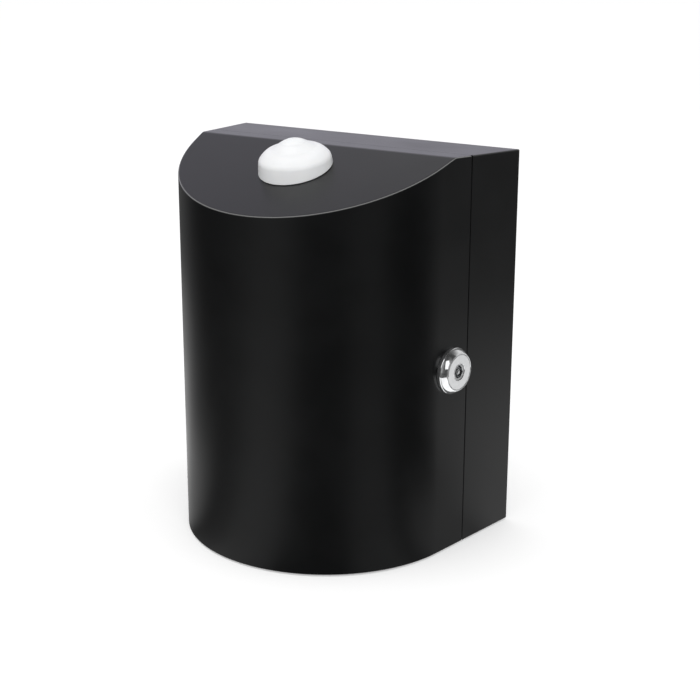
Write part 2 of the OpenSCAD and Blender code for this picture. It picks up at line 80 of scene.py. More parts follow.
LOCK_FROM_SEAM, LOCK_H = 16, 120
LOCK_D = SEAM_D + LOCK_FROM_SEAM * COS_T
LOCK_Z = FOOT_H + LOCK_H
BEZEL_R, BEZEL_FACE_R, BEZEL_H, BEZEL_FACE_T = 14.6, 11.8, 6.4, 1.0
BEZEL_SHOULDER_H, BEZEL_SWELL, BEZEL_EDGE_R = 2.5, 0.25, 0.2
GROOVE_R, GROOVE_HALF, GROOVE_FLOOR, GROOVE_DEEP = 11.2, 0.36, 0.1, 0.5
BARREL_L, NECK_R, NECK_GAP = 19.0, 8.0, 0.05
PLUG_R, PLUG_GAP, PLUG_SUNK = 5.2, 0.2, 0.4
KEY_R, KEY_DEEP, KEY_PIN_R, KEY_PIN_EDGE, KEY_NOTCH_W = 3.7, 7.0, 1.7, 0.4, 1.6
PIN_SEAT_DEEP = 3.0
CAM_GAP, CAM_T, TAIL_W = 0.3, 2.0, 7.0

NOZZLE_D, NOZZLE_LEAN, CAP_R, CAP_WALL_H, CAP_DRAFT = 95.6, math.radians(10.4), 23.1, 6.6, 0.7
CAP_FOOT_IN, CAP_FOOT_H, SHOULDER_R, SHOULDER_FLAT, SHOULDER_RUN = 0.9, 0.55, 6.0, 0.6, 1.6
BORE_TOP_H, BORE_H, BORE_EDGE = 5.0, 3.4, 0.4
EDGE_R = CAP_R - CAP_DRAFT
SWELL_R, DOME_H, CROWN_R, CROWN_H = 14.0, 12.5, 7.4, 18.5
CAP_T, CAP_NECK_R, CAP_NECK_L, NECK_FIT, NECK_EDGE, NECK_REACH = 2.0, 17.0, 10.0, 0.2, 0.6, 8
GASKET_R, GASKET_T, INSERT_T, INSERT_FLANGE_R, CLIP_T = 20.5, 1.4, 1.4, 10.0, 1.5
INSERT_GAP, SEAT_GAP = 0.03, 0.05
SLIT_R, SLIT_COUNT, SLIT_TURN, SLIT_HALF, SLIT_DEEP, SLIT_FADE = 5.4, 3, 0.3, 0.1, 0.22, 0.8
THETA = np.linspace(0, 2 * math.pi, 240, endpoint=False)


# ---------------------------------------------------------------- outline of the cabinet
def y_at(depth):
    """Place across the frame's Y of a depth from the back."""
    return BACK_Y - depth


def wall_x(depth, inset=0.0):
    """Half the width between the side walls at a depth, for a surface that lies inset inside them."""
    return BODY_W / 2 - math.tan(TAPER) * depth - inset / math.cos(TAPER)


def roof_z(depth):
    """Height of the roof: the lower of the rising strip and the falling panel, eased over the ridge
    by a parabola where the two differ by less than RIDGE_EASE."""
    strip = BACK_H + math.tan(STRIP_RISE) * depth
    panel = RIDGE_H - math.tan(LID_SLOPE) * (depth - RIDGE_D)
    share = np.clip(0.5 + 0.5 * (panel - strip) / RIDGE_EASE, 0, 1)
    return FOOT_H + panel * (1 - share) + strip * share - RIDGE_EASE * share * (1 - share)


def fillet(before, corner, after, radius, steps=BEND_STEPS):
    """Arc of that radius that is tangent to both legs of a corner, as points from leg to leg."""
    before, corner, after = (np.asarray(p, float) for p in (before, corner, after))
    u = (before - corner) / np.linalg.norm(before - corner)
    v = (after - corner) / np.linalg.norm(after - corner)
    half = math.acos(np.clip(u @ v, -1, 1)) / 2
    middle = corner + (u + v) / np.linalg.norm(u + v) * radius / math.sin(half)
    start = corner + u * radius / math.tan(half) - middle
    turn = (math.pi - 2 * half) * np.sign(u[0] * v[1] - u[1] * v[0]) * -1
    a = np.linspace(0, turn, steps + 1)
    return middle + np.stack([start[0] * np.cos(a) - start[1] * np.sin(a),
                              start[0] * np.sin(a) + start[1] * np.cos(a)], 1)


def rounded(points, radii, steps=BEND_STEPS):
    """Closed outline in which each corner with a radius above 0 is replaced by its fillet."""
    points = [np.asarray(p, float) for p in points]
    out = []
    for k, (point, radius) in enumerate(zip(points, radii)):
        if radius > 0:
            out.extend(fillet(points[k - 1], point, points[(k + 1) % len(points)], radius, steps))
        else:
            out.append(point)
    return np.array(out)


def leg(start, end, count):
    """Points from start up to, but without, end."""
    t = np.linspace(0, 1, count, endpoint=False)[:, None]
    return np.asarray(start) * (1 - t) + np.asarray(end) * t


def seam_fold(tip, corner, along, inset):
    """Folded edge at the seam and the bend from it into the wall. The outer half of the sheet bends round
    BEND_R, and the inner half round what BEND_R and SHEET leave."""
    radius = BEND_R + SHEET - inset if inset > SHEET / 2 else BEND_R
    bend = fillet(tip, corner, along, radius)
    return np.concatenate([leg(tip, bend[0], FOLD_LEG), bend])


def door_path(inset):
    """Plan of the door skin from the end of its folded edge, round the seam corner, along the right wall,
    round the front and back along the left wall, for a surface inset inside the outside."""
    seam = DOOR_START_D + inset
    tip = np.array([wall_x(SEAM_D) - FOLD_W, seam])
    corner = np.array([wall_x(seam, inset), seam])
    r = FRONT_R - inset
    phi = np.linspace(TAPER, math.pi - TAPER, 121)
    front = np.stack([r * np.cos(phi), FRONT_CENTRE + r * np.sin(phi)], 1)
    right = [[wall_x(d, inset), d] for d in np.r_[WALL_STOP_D, RIDGE_STOPS, FRONT_STOP_D]]
    left = [[-wall_x(d, inset), d] for d in np.r_[FRONT_STOP_D, RIDGE_STOPS[::-1], WALL_STOP_D, DOOR_START_D]]
    return np.concatenate([seam_fold(tip, corner, front[0], inset), right, front, left])


def housing_path(inset):
    """Plan of the housing's walls from the end of the folded edge, round the seam corner, along the right
    wall, the back and the left wall, for a surface inset inside the outside."""
    seam = HOUSING_END_D - inset
    tip = np.array([wall_x(SEAM_D) - FOLD_W, seam])
    corner = np.array([wall_x(seam, inset), seam])
    right = np.array([wall_x(inset, inset), inset])
    left = right * [-1, 1]
    end = np.array([-wall_x(HOUSING_END_D, inset), HOUSING_END_D])
    rear_r = max(REAR_CORNER_R - inset, LEAST_CORNER_R)
    return np.concatenate([seam_fold(tip, corner, right, inset),
                           fillet(corner, right, left, rear_r, CORNER_STEPS),
                           fillet(right, left, end, rear_r, CORNER_STEPS),
                           leg(left + (end - left) * 0.5, end, 2), [end]])


# ---------------------------------------------------------------- mesh builders
def quads(rows, cols, close_rows=False, close_cols=False):
    """Corner numbers of the squares of a grid whose points are numbered row by row."""
    r = np.arange(rows if close_rows else rows - 1)
    c = np.arange(cols if close_cols else cols - 1)
    r, c = (g.ravel() for g in np.meshgrid(r, c, indexing="ij"))
    r2, c2 = (r + 1) % rows, (c + 1) % cols
    return np.stack([r * cols + c, r * cols + c2, r2 * cols + c2, r2 * cols + c], 1)


def smooth(obj, sharp_deg=34.0):
    """Smooth shading that stays sharp at edges over sharp_deg and keeps flat faces flat."""
    obj.data.polygons.foreach_set("use_smooth", np.ones(len(obj.data.polygons), bool))
    obj.data.set_sharp_from_angle(angle=math.radians(sharp_deg))
    even = obj.modifiers.new("even_normals", "WEIGHTED_NORMAL")
    even.mode, even.weight, even.keep_sharp = "FACE_AREA", 50, True


def in_frame(axes, points):
    """Points given along some local axes, put into the frame."""
    return points @ np.array(axes.to_3x3()).T + np.array(axes.translation)


def piece(name, parts, finish, body, replaces=(), axes=None, smooth_deg=34.0):
    """Object from closed shells: each is (points in millimetres, faces), along the local axes where they are
    given. Doubled points are merged and the faces turned outwards, and edges sharper than smooth_deg stay
    sharp. A cutter has no body."""
    verts, faces, shift = [], [], 0
    for points, part_faces in parts:
        points = np.asarray(points, float).reshape(-1, 3)
        verts.append(points)
        faces.extend([[int(i) + shift for i in f] for f in part_faces])
        shift += len(points)
    verts = np.concatenate(verts)
    if axes is not None:
        verts = in_frame(axes, verts)
    mesh = bpy.data.meshes.new(name)
    mesh.from_pydata((verts * MM).tolist(), [], faces)
    shell = bmesh.new()
    shell.from_mesh(mesh)
    bmesh.ops.remove_doubles(shell, verts=shell.verts, dist=2e-6)
    bmesh.ops.dissolve_degenerate(shell, edges=shell.edges, dist=1e-6)
    bmesh.ops.recalc_face_normals(shell, faces=shell.faces)
    shell.to_mesh(mesh)
    shell.free()
    obj = bpy.data.objects.new(name, mesh)
    smooth(obj, smooth_deg)
    bpy.context.scene.collection.objects.link(obj)
    for material in (finish if isinstance(finish, (list, tuple)) else [finish]):
        mesh.materials.append(material)
    if body:
        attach(obj, body)
    if replaces:
        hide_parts(*replaces)
    return obj


def carve(obj, cutters):
    """Cuts closed shells out of a piece and keeps the piece's own object and materials."""
    obj.modifiers.clear()
    for k, cutter in enumerate(cutters):
        tool = piece(f"cutter_{k}", [cutter], [], None)
        cut = obj.modifiers.new("cut", "BOOLEAN")
        cut.operation, cut.solver, cut.object = "DIFFERENCE", "EXACT", tool
        bpy.context.view_layer.update()
        evaluated = obj.evaluated_get(bpy.context.evaluated_depsgraph_get())
        mesh = bpy.data.meshes.new_from_object(evaluated)
        obj.modifiers.clear()
        old, obj.data = obj.data, mesh
        bpy.data.meshes.remove(old)
        bpy.data.objects.remove(tool)
    smooth(obj)
    return obj


def lathe(profile, segments=128, start=0.0):
    """Closed profile of (radius, height) points turned about the local Z axis."""
    profile = np.asarray(profile, float)
    a = start + np.linspace(0, 2 * math.pi, segments, endpoint=False)
    r, z = profile[:, 0, None], profile[:, 1, None]
    points = np.stack([r * np.cos(a), r * np.sin(a), z + 0 * a], -1)
    return points, quads(len(profile), segments, True, True)


def rod(radius, z0, z1, segments=64, axis_point=(0.0, 0.0)):
    """Plain round bar along local Z, used to cut holes."""
    points, faces = lathe([(0, z0), (radius, z0), (radius, z1), (0, z1)], segments)
    return points + [axis_point[0], axis_point[1], 0], faces


def wall_sheet(path, low, drop):
    """Upright sheet along a plan path: its section runs round the cut lower edge, up the outside, over the
    rounded rim and down the inside. low is each station's bottom, and drop how far its top lies below the
    roof."""
    a = np.linspace(0, math.pi / 2, 7)
    bottom = [(CUT_EDGE_R * (1 - math.sin(t)), 0, CUT_EDGE_R * (1 - math.cos(t))) for t in a[::3]]
    top = [(RIM_R * (1 - math.cos(t)), 1, RIM_R * (1 - math.sin(t))) for t in a]
    section = bottom + top + [(SHEET, 1, 0.0), (SHEET, 0, 0.0)]
    rows = []
    for inset, from_top, offset in section:
        plan = path(inset)
        z = roof_z(plan[:, 1]) - drop - offset if from_top else low + offset
        rows.append(np.stack([plan[:, 0], y_at(plan[:, 1]), z], 1))
    grid = np.array(rows)
    count, stations = grid.shape[:2]
    ends = [[k * stations for k in range(count)], [k * stations + stations - 1 for k in range(count)]]
    return grid, list(quads(count, stations, True, False)) + ends


def roof_sheet(depths, half_widths, fold_at_start):
    """Roof panel across the cabinet: straight rows of the given half widths at the given depths, with a
    folded edge FOLD_W deep at the seam. The underside is SHEET below, square to the surface."""
    run, least_step = 5, 0.05
    side = 1 if fold_at_start else -1
    seam = depths[0] if fold_at_start else depths[-1]
    half = half_widths[0] if fold_at_start else half_widths[-1]
    top = roof_z(seam)
    along = (seam + side * run, top + side * run * math.tan(STRIP_RISE))
    corner = fillet((seam, top - FOLD_W), (seam, top), along, TOP_BEND_R, 4)
    fold = np.concatenate([[[seam, top - FOLD_W]], corner])
    keep = (depths > corner[-1, 0] + least_step) if fold_at_start else (depths < corner[-1, 0] - least_step)
    line = np.stack([depths[keep], roof_z(depths)[keep]], 1)
    width = half_widths[keep]
    if fold_at_start:
        line = np.concatenate([fold, line])
        width = np.concatenate([np.full(len(fold), half), width])
    else:
        line = np.concatenate([line, fold[::-1]])
        width = np.concatenate([width, np.full(len(fold), half)])
    tangent = np.gradient(line, axis=0)
    tangent /= np.linalg.norm(tangent, axis=1)[:, None]
    under = line + np.stack([tangent[:, 1], -tangent[:, 0]], 1) * SHEET
    u = np.linspace(-1, 1, 25)
    sides = []
    for edge in (line, under):
        sides.append(np.stack([width[:, None] * u, y_at(edge[:, 0])[:, None] + 0 * u,
                               edge[:, 1][:, None] + 0 * u], -1))
    rows, cols = sides[0].shape[:2]
    n = rows * cols
    top_faces = quads(rows, cols)
    loop = np.concatenate([np.arange(cols), np.arange(1, rows) * cols + cols - 1,
                           (rows - 1) * cols + np.arange(cols - 2, -1, -1),
                           np.arange(rows - 2, 0, -1) * cols])
    following = np.roll(loop, -1)
    border = np.stack([loop, following, following + n, loop + n], 1)
    faces = list(top_faces) + list(top_faces[:, ::-1] + n) + list(border)
    return np.concatenate([s.reshape(-1, 3) for s in sides]), faces


# ---------------------------------------------------------------- node trees
class Value:
    """A number socket. Python's operators on it add Math nodes to its tree."""

    def __init__(self, tree, socket):
        self.tree, self.socket = tree, socket

    def math(self, operation, *others):
        return self.tree.number("ShaderNodeMath", {"operation": operation}, dict(enumerate((self, *others))))

    def __add__(self, other): return self.math("ADD", other)
    def __sub__(self, other): return self.math("SUBTRACT", other)
    def __mul__(self, other): return self.math("MULTIPLY", other)
    def __truediv__(self, other): return self.math("DIVIDE", other)
    def __pow__(self, other): return self.math("POWER", other)
    def __rsub__(self, other): return self.tree.constant(other).math("SUBTRACT", self)
    def __rtruediv__(self, other): return self.tree.constant(other).math("DIVIDE", self)
    __radd__, __rmul__ = __add__, __mul__

    def between(self, low, high, to_low=0.0, to_high=1.0):
        """Smooth step from to_low at low to to_high at high."""
        ends = {"Value": self, "From Min": low, "From Max": high, "To Min": to_low, "To Max": to_high}
        return self.tree.number("ShaderNodeMapRange", {"interpolation_type": "SMOOTHSTEP"}, ends)


class Tree:
    """Node tree of one finish."""

    def __init__(self, owner):
        owner.use_nodes = True
        self.nodes, self.links = owner.node_tree.nodes, owner.node_tree.links
        self.nodes.clear()

    def node(self, kind, settings=None, inputs=None):
        """Adds a node: its settings first, then the values or links of its sockets."""
        made = self.nodes.new(kind)
        for key, value in (settings or {}).items():
            if key == "stops":
                stops = made.color_ramp.elements
                for number, (position, level) in enumerate(value):
                    stop = stops[number] if number < 2 else stops.new(position)
                    stop.position, stop.color = position, grey(level)
            else:
                setattr(made, key, value)
        for key, value in (inputs or {}).items():
            if isinstance(value, Value):
                self.links.new(value.socket, made.inputs[key])
            elif isinstance(value, bpy.types.NodeSocket):
                self.links.new(value, made.inputs[key])
            else:
                made.inputs[key].default_value = value
        return made

    def number(self, kind, settings=None, inputs=None, output=0):
        return Value(self, self.node(kind, settings, inputs).outputs[output])

    def constant(self, value):
        made = self.node("ShaderNodeValue")
        made.outputs[0].default_value = value
        return Value(self, made.outputs[0])

    def blend(self, factor, first, second):
        """Colour from first to second."""
        mix = self.node("ShaderNodeMix", {"data_type": "RGBA"}, {0: factor, 6: first, 7: second})
        return mix.outputs[2]

    def rays(self):
        """Two values: 1 where the camera looks, and 1 where a shiny surface reflects."""
        ray = self.node("ShaderNodeLightPath").outputs
        return Value(self, ray["Is Camera Ray"]), Value(self, ray["Is Glossy Ray"])

    def millimetres(self, centre=None, turn=None):
        """The piece's own coordinates in millimetres, optionally centred on a point and turned."""
        place = self.node("ShaderNodeTexCoord").outputs["Object"]
        if centre is not None:
            sockets = {"Vector": place, "Location": tuple(centre), "Rotation": tuple(turn)}
            place = self.node("ShaderNodeMapping", {"vector_type": "TEXTURE"}, sockets).outputs[0]
        return self.node("ShaderNodeMapping", {}, {"Vector": place, "Scale": (1 / MM,) * 3}).outputs[0]

    def noise(self, place, per_mm, detail=2.0, roughness=0.5):
        return self.number("ShaderNodeTexNoise", {"noise_dimensions": "3D"},
                           {"Vector": place, "Scale": per_mm, "Detail": detail, "Roughness": roughness})

    def part(self, vector, axis):
        return Value(self, self.node("ShaderNodeSeparateXYZ", {}, {0: vector}).outputs[axis])

    def bump(self, height, distance, strength=1.0):
        sockets = {"Height": height, "Distance": distance, "Strength": strength}
        return self.node("ShaderNodeBump", {}, sockets).outputs[0]

    def surface(self, **sockets):
        """Principled shader with these sockets, joined to the output. Underscores stand for spaces."""
        sockets = {key.replace("_", " "): value for key, value in sockets.items()}
        shader = self.node("ShaderNodeBsdfPrincipled", {}, sockets)
        self.node("ShaderNodeOutputMaterial", {}, {0: shader.outputs[0]})


def grey(v, warm=0.0):
    """Colour of one lightness, slightly warmer, or cooler where warm is negative."""
    return (v * (1 + warm), v, v * (1 - warm), 1.0)


def powder_coat(name, base=0.0042, rough=0.32, tint=-0.06):
    """Satin black powder coat: fine stipple, a soft orange peel, cloudy gloss, a little dust in the pores,
    and a painted highlight, a light grey colour with a little more gloss, where the attribute edge is set."""
    material = bpy.data.materials.new(name)
    t = Tree(material)
    place = t.millimetres()
    cloud = t.noise(place, 0.028, 3.0)
    peel = t.noise(place, 0.55, 2.0)
    stipple = t.noise(place, 3.2, 2.0, 0.6)
    speck = t.noise(place, 7.0, 1.0).between(0.66, 0.80)
    # painted highlight: where the attribute edge is set, the colour turns light grey in place of a reflection
    # along the rim
    rim_highlight = t.number("ShaderNodeAttribute", {"attribute_name": "edge"}, {}, 2)
    shade = t.blend(cloud.between(0.35, 0.65), grey(base * 0.86, tint), grey(base * 1.14, tint))
    shade = t.blend(speck * 0.12, shade, grey(base * 3.2, 0.02))
    shade = t.blend(rim_highlight, shade, grey(0.22))
    gloss = rough + (cloud - 0.5) * 0.10 + (stipple - 0.5) * 0.10 - rim_highlight * 0.05
    t.surface(Base_Color=shade, Roughness=gloss, Specular_IOR_Level=0.5,
              Normal=t.bump(stipple * 0.55 + peel * 0.9, 0.00002, 0.6))
    return material


def moulded_plastic(name, base, rough, soft, tint=-0.008, grain=2.6):
    """White moulded plastic: nearly smooth, with faint flow clouds and a very fine grain."""
    material = bpy.data.materials.new(name)
    t = Tree(material)
    place = t.millimetres()
    cloud = t.noise(place, 0.09, 3.0)
    fine = t.noise(place, grain, 2.0)
    shade = t.blend(cloud.between(0.3, 0.7), grey(base * 0.975, tint), grey(base, tint))
    t.surface(Base_Color=shade, Roughness=rough + (cloud - 0.5) * 0.06 + (fine - 0.5) * 0.05,
              Subsurface_Weight=soft, Subsurface_Scale=0.004, Subsurface_Radius=(1.0, 0.9, 0.8),
              Normal=t.bump(fine, 0.00001, 0.35))
    return material


def metal(name, base, rough, tint=-0.01, centre=None, turn=None, rings=0.0, scratches=0.4, cloud_rough=0.06,
          metallic=1.0):
    """Bare or plated metal. With a centre, turning marks run in rings round the local Z axis there."""
    material = bpy.data.materials.new(name)
    t = Tree(material)
    place = t.millimetres(centre, turn)
    cloud = t.noise(place, 0.25, 3.0)
    fine = t.noise(place, 4.0, 2.0)
    height = fine * scratches
    if rings:
        x, y = t.part(place, 0), t.part(place, 1)
        radius = (x * x + y * y) ** 0.5
        height = height + t.number("ShaderNodeTexNoise", {"noise_dimensions": "1D"},
                                   {"W": radius * 9.0, "Scale": 1.0, "Detail": 3.0}) * rings
    shade = t.blend(cloud.between(0.3, 0.7), grey(base * 0.93, tint), grey(base, tint))
    gloss = rough + (cloud - 0.5) * cloud_rough + (fine - 0.5) * 0.05
    t.surface(Base_Color=shade, Metallic=metallic, Roughness=gloss, Normal=t.bump(height, 0.000012, 0.5))
    return material


def rubber(name):
    """Matte black rubber with a dusty, slightly uneven surface."""
    material = bpy.data.materials.new(name)
    t = Tree(material)
    place = t.millimetres()
    cloud = t.noise(place, 0.3, 3.0)
    fine = t.noise(place, 2.2, 3.0)
    shade = t.blend(cloud.between(0.3, 0.7), grey(0.016), grey(0.026))
    t.surface(Base_Color=shade, Roughness=0.75 + (fine - 0.5) * 0.2, Normal=t.bump(fine, 0.00003, 0.6))
    return material


# ---------------------------------------------------------------- local axes of the lock and the nozzle
def local_axes(origin, x_axis, y_axis, z_axis):
    axes = Matrix((x_axis, y_axis, z_axis)).transposed().to_4x4()
    axes.translation = Vector(origin)
    return axes


def leaning_axes(lean):
    """Axes at the nozzle's centre on the sloped panel, with Z leaning forwards."""
    centre = (0, y_at(NOZZLE_D), FOOT_H + RIDGE_H - math.tan(LID_SLOPE) * (NOZZLE_D - RIDGE_D))
    return local_axes(centre, (1, 0, 0), (0, math.cos(lean), math.sin(lean)),
                      (0, -math.sin(lean), math.cos(lean)))


lock_place = (wall_x(LOCK_D), y_at(LOCK_D), LOCK_Z)
LOCK_AXES = local_axes(lock_place, (0, 0, -1), (SIN_T, COS_T, 0), (COS_T, -SIN_T, 0))
NOZZLE_AXES = leaning_axes(LID_SLOPE)
DOME_AXES = leaning_axes(NOZZLE_LEAN)
lock_turn = LOCK_AXES.to_euler()
lock_centre = LOCK_AXES.translation * MM

# ---------------------------------------------------------------- finishes
COAT = powder_coat("coat_cabinet")
COAT_INSIDE = powder_coat("coat_inside", 0.006, 0.42)
HINGE_COAT = powder_coat("coat_hinge", 0.008, 0.36, 0.0)
CHROME = metal("chrome_polished", 0.93, 0.09, centre=lock_centre, turn=lock_turn, rings=0.12, scratches=0.1,
               cloud_rough=0.03, metallic=0.95)
CHROME_FACE = metal("chrome_satin", 0.95, 0.24, centre=lock_centre, turn=lock_turn, rings=0.8,
                    metallic=0.55)
CHROME_PLUG = metal("chrome_plug", 0.86, 0.18, centre=lock_centre, turn=lock_turn, rings=0.5)
ZINC = metal("zinc_casting", 0.62, 0.34, 0.01, cloud_rough=0.14)
PLATED = metal("zinc_plate", 0.66, 0.26, 0.03, cloud_rough=0.12)
WHITE = moulded_plastic("plastic_white", 0.84, 0.30, 0.10)
WHITE_NUT = moulded_plastic("plastic_white_matte", 0.80, 0.46, 0.04)
SILICONE = moulded_plastic("silicone_white", 0.88, 0.40, 0.20)
RUBBER = rubber("rubber_black")


# ---------------------------------------------------------------- cabinet
def walls(path, fold_low, fold_drop):
    """Wall sheet whose folded edge starts at its own height and ends fold_drop below the roof."""
    on_fold = np.arange(len(path(0.0))) < FOLD_STATIONS
    return wall_sheet(path, np.where(on_fold, fold_low, FOOT_H), np.where(on_fold, fold_drop, 0.0))


def wall_hole(x, z):
    """Cutter for a screw hole through the back."""
    points, faces = rod(WALL_HOLE_R, -THROUGH, THROUGH, 48)
    return np.stack([points[:, :, 0] + x, y_at(0) + points[:, :, 2], points[:, :, 1] + z], -1), faces


def housing_roof():
    """Strip behind the seam, inside the walls, with rounded rear corners."""
    a = np.linspace(0, math.pi / 2, CORNER_STEPS)
    depths = np.r_[RIM_IN + ROOF_CORNER_R * (1 - np.cos(a)), np.linspace(STRIP_STOP_D, HOUSING_END_D, 8)]
    widths = wall_x(depths, RIM_IN)
    widths[:CORNER_STEPS] -= ROOF_CORNER_R * (1 - np.sin(a))
    return roof_sheet(depths, widths, False)


def door_lid():
    """Roof of the door, inside its skin: as wide as the walls, then round the front's circle."""
    r = FRONT_R - RIM_IN
    phi = np.linspace(math.asin((FRONT_STOP_D - FRONT_CENTRE) / r), math.pi / 2, 56)
    depths = np.r_[HOUSING_END_D + TOP_GAP, LID_STOPS, RIDGE_STOPS, FRONT_CENTRE + r * np.sin(phi)]
    circle = np.sqrt(np.maximum(r ** 2 - (depths - FRONT_CENTRE) ** 2, 0))
    widths = np.where(depths < FRONT_CENTRE + r * SIN_T, wall_x(depths, RIM_IN), circle)
    return roof_sheet(depths, widths, True)


hinge_z0, hinge_z1 = FOOT_H + HINGE_END, FOOT_H + BACK_H + math.tan(STRIP_RISE) * SEAM_D - HINGE_END
knuckle_slot = rod(KNUCKLE_R + KNUCKLE_ROOM, hinge_z0 - KNUCKLE_GAP, hinge_z1 + KNUCKLE_GAP, 48,
                   (-wall_x(SEAM_D), y_at(SEAM_D)))
wall_holes = [wall_hole(side * WALL_HOLE_W / 2, FOOT_H + WALL_HOLE_Z + up * WALL_HOLE_H)
              for side in (-1, 1) for up in (0, 1)]
housing = piece("housing_walls", [walls(housing_path, FOOT_H + SHEET, FOLD_W + HOUSING_FOLD_GAP)], COAT,
                "housing", ["rear_housing"])
carve(housing, [knuckle_slot] + wall_holes)
piece("housing_roof", [housing_roof()], COAT, "housing")

door = piece("door_skin", [walls(door_path, FOOT_H + 2 * SHEET + BASE_GAP, FOLD_W + BASE_GAP)], COAT,
             "door", ["door_wrap"])
carve(door, [knuckle_slot])
# the rounded rim carries a painted highlight, a lighter line in its colour in place of its reflection:
# fullest at RIM_LINE of the rim's radius below the roof
at = np.array([v.co for v in door.data.vertices]) / MM
below = (roof_z(BACK_Y - at[:, 1]) - at[:, 2]) / RIM_R
rim_highlight_mask = door.data.attributes.new("edge", "FLOAT", "POINT")
rim_highlight_mask.data.foreach_set("value", np.clip(1 - np.abs(below - RIM_LINE) / RIM_LINE, 0, 1))

lid = piece("door_lid", [door_lid()], COAT, "door", ["door_top"])
points, faces = rod(CAP_NECK_R + NECK_FIT, -NECK_REACH, NECK_REACH, 96)
carve(lid, [(in_frame(NOZZLE_AXES, points.reshape(-1, 3)), faces)])


# ---------------------------------------------------------------- nozzle
def dome_line(r):
    """Height of the nozzle's outside at a radius: a parabola from the wall in to the swell, then the bell
    (1 - r squared) to the power 1.25 up to the middle of the crown."""
    r = np.asarray(r, float)
    dome = CAP_WALL_H + (DOME_H - CAP_WALL_H) * (1 - ((r - SWELL_R) / (EDGE_R - SWELL_R)) ** 2)
    bell = DOME_H + (CROWN_H - DOME_H) * np.clip(1 - (r / SWELL_R) ** 2, 0, 1) ** 1.25
    return np.where(r > SWELL_R, dome, bell)


SEAT_H = float(dome_line(INSERT_FLANGE_R)) - CAP_T


def turned(axes, profile):
    """Rings of a profile of (radius, height) pairs about the Z of some axes, as points in the frame. Radius
    and height may each be an array over THETA."""
    return [in_frame(axes, np.stack([r * np.cos(THETA), r * np.sin(THETA), h + 0 * THETA], 1))
            for r, h in profile]


def wall_ring(lift, inset=0.0):
    """Ring on the nozzle's wall at a height above the sloped panel. The wall leans less than the panel's
    normal, so along its own axis the ring is lower at the front."""
    tilt = LID_SLOPE - NOZZLE_LEAN
    draft = CAP_DRAFT / CAP_WALL_H
    forward = np.sin(THETA) * math.sin(tilt)
    h = (lift + CAP_R * forward) / (math.cos(tilt) + draft * forward)
    return CAP_R - draft * h - inset, h


def nozzle_rings():
    """Closed turned shell of the nozzle: up the drafted wall, over the rounded shoulder and along the dome's
    line to the crown's opening, then down through the insert's seat and the bore, round the end of the neck
    and up to the gasket's recess."""
    foot, low_wall = wall_ring(0.0, CAP_FOOT_IN), wall_ring(CAP_FOOT_H)
    inner_r = EDGE_R - SHOULDER_FLAT
    shoulder = fillet((CAP_R, 0), (EDGE_R, CAP_WALL_H), (inner_r, float(dome_line(inner_r))), SHOULDER_R, 10)
    wall = [foot, low_wall] + [tuple((1 - u) * low + u * high for low, high in zip(low_wall, shoulder[0]))
                               for u in (0.25, 0.5, 0.75)]
    radii = np.r_[np.linspace(EDGE_R - SHOULDER_RUN, SWELL_R, 15), np.linspace(SWELL_R - 1, CROWN_R, 14)]
    dome = [(r, float(dome_line(r))) for r in radii]
    outside = turned(DOME_AXES, wall + [tuple(p) for p in shoulder] + dome)

    seat_r, bore_r, recess_r = INSERT_FLANGE_R + SEAT_GAP, CAP_NECK_R - CAP_T - 1, GASKET_R + NECK_FIT
    seat = turned(DOME_AXES, [(CROWN_R, SEAT_H), (seat_r, SEAT_H), (seat_r, SEAT_H - INSERT_T - CLIP_T),
                              (bore_r - 1, BORE_TOP_H)])
    neck = turned(NOZZLE_AXES, [(bore_r, BORE_H), (bore_r, BORE_EDGE - CAP_NECK_L),
                                (bore_r + BORE_EDGE, -CAP_NECK_L), (CAP_NECK_R - NECK_EDGE, -CAP_NECK_L),
                                (CAP_NECK_R, NECK_EDGE - CAP_NECK_L), (CAP_NECK_R, GASKET_T),
                                (recess_r, GASKET_T), (recess_r, 0)])
    rings = np.array(outside + seat + neck)
    return rings, quads(len(rings), len(THETA), True, True)


piece("nozzle_dome", [nozzle_rings()], WHITE, "door", ["nozzle_cap"])


def crown_rings():
    """Soft middle of the crown: it carries the dome's line on to the middle and runs INSERT_T lower
    underneath. Its closed slits are fine grooves along SLIT_COUNT lines, bell-shaped across, that fade out
    at SLIT_R."""
    top_r, under_r, middle_r = CROWN_R - INSERT_GAP, CROWN_R - INSERT_T, 0.04
    r = np.r_[np.linspace(top_r, 0.9, 30), 0.5, 0.2, middle_r][:, None] + 0 * THETA
    lines = np.pi * np.arange(SLIT_COUNT) / SLIT_COUNT + SLIT_TURN
    off = np.min(np.abs(r[..., None] * np.sin(THETA[None, :, None] - lines)), -1)
    groove = SLIT_DEEP * np.clip((SLIT_R - r) / SLIT_FADE, 0, 1) * np.exp(-(off / SLIT_HALF) ** 2)
    profile = list(zip(r, dome_line(r) - groove))
    profile += [(q, float(dome_line(q)) - INSERT_T) for q in (middle_r, 2.0, 4.0, under_r)]
    profile += [(under_r, SEAT_H - INSERT_T), (INSERT_FLANGE_R, SEAT_H - INSERT_T), (INSERT_FLANGE_R, SEAT_H),
                (top_r, SEAT_H)]
    rings = np.array(turned(DOME_AXES, profile))
    return rings, quads(len(rings), len(THETA), True, True)


piece("nozzle_crown", [crown_rings()], SILICONE, "door", ["nozzle_insert"])


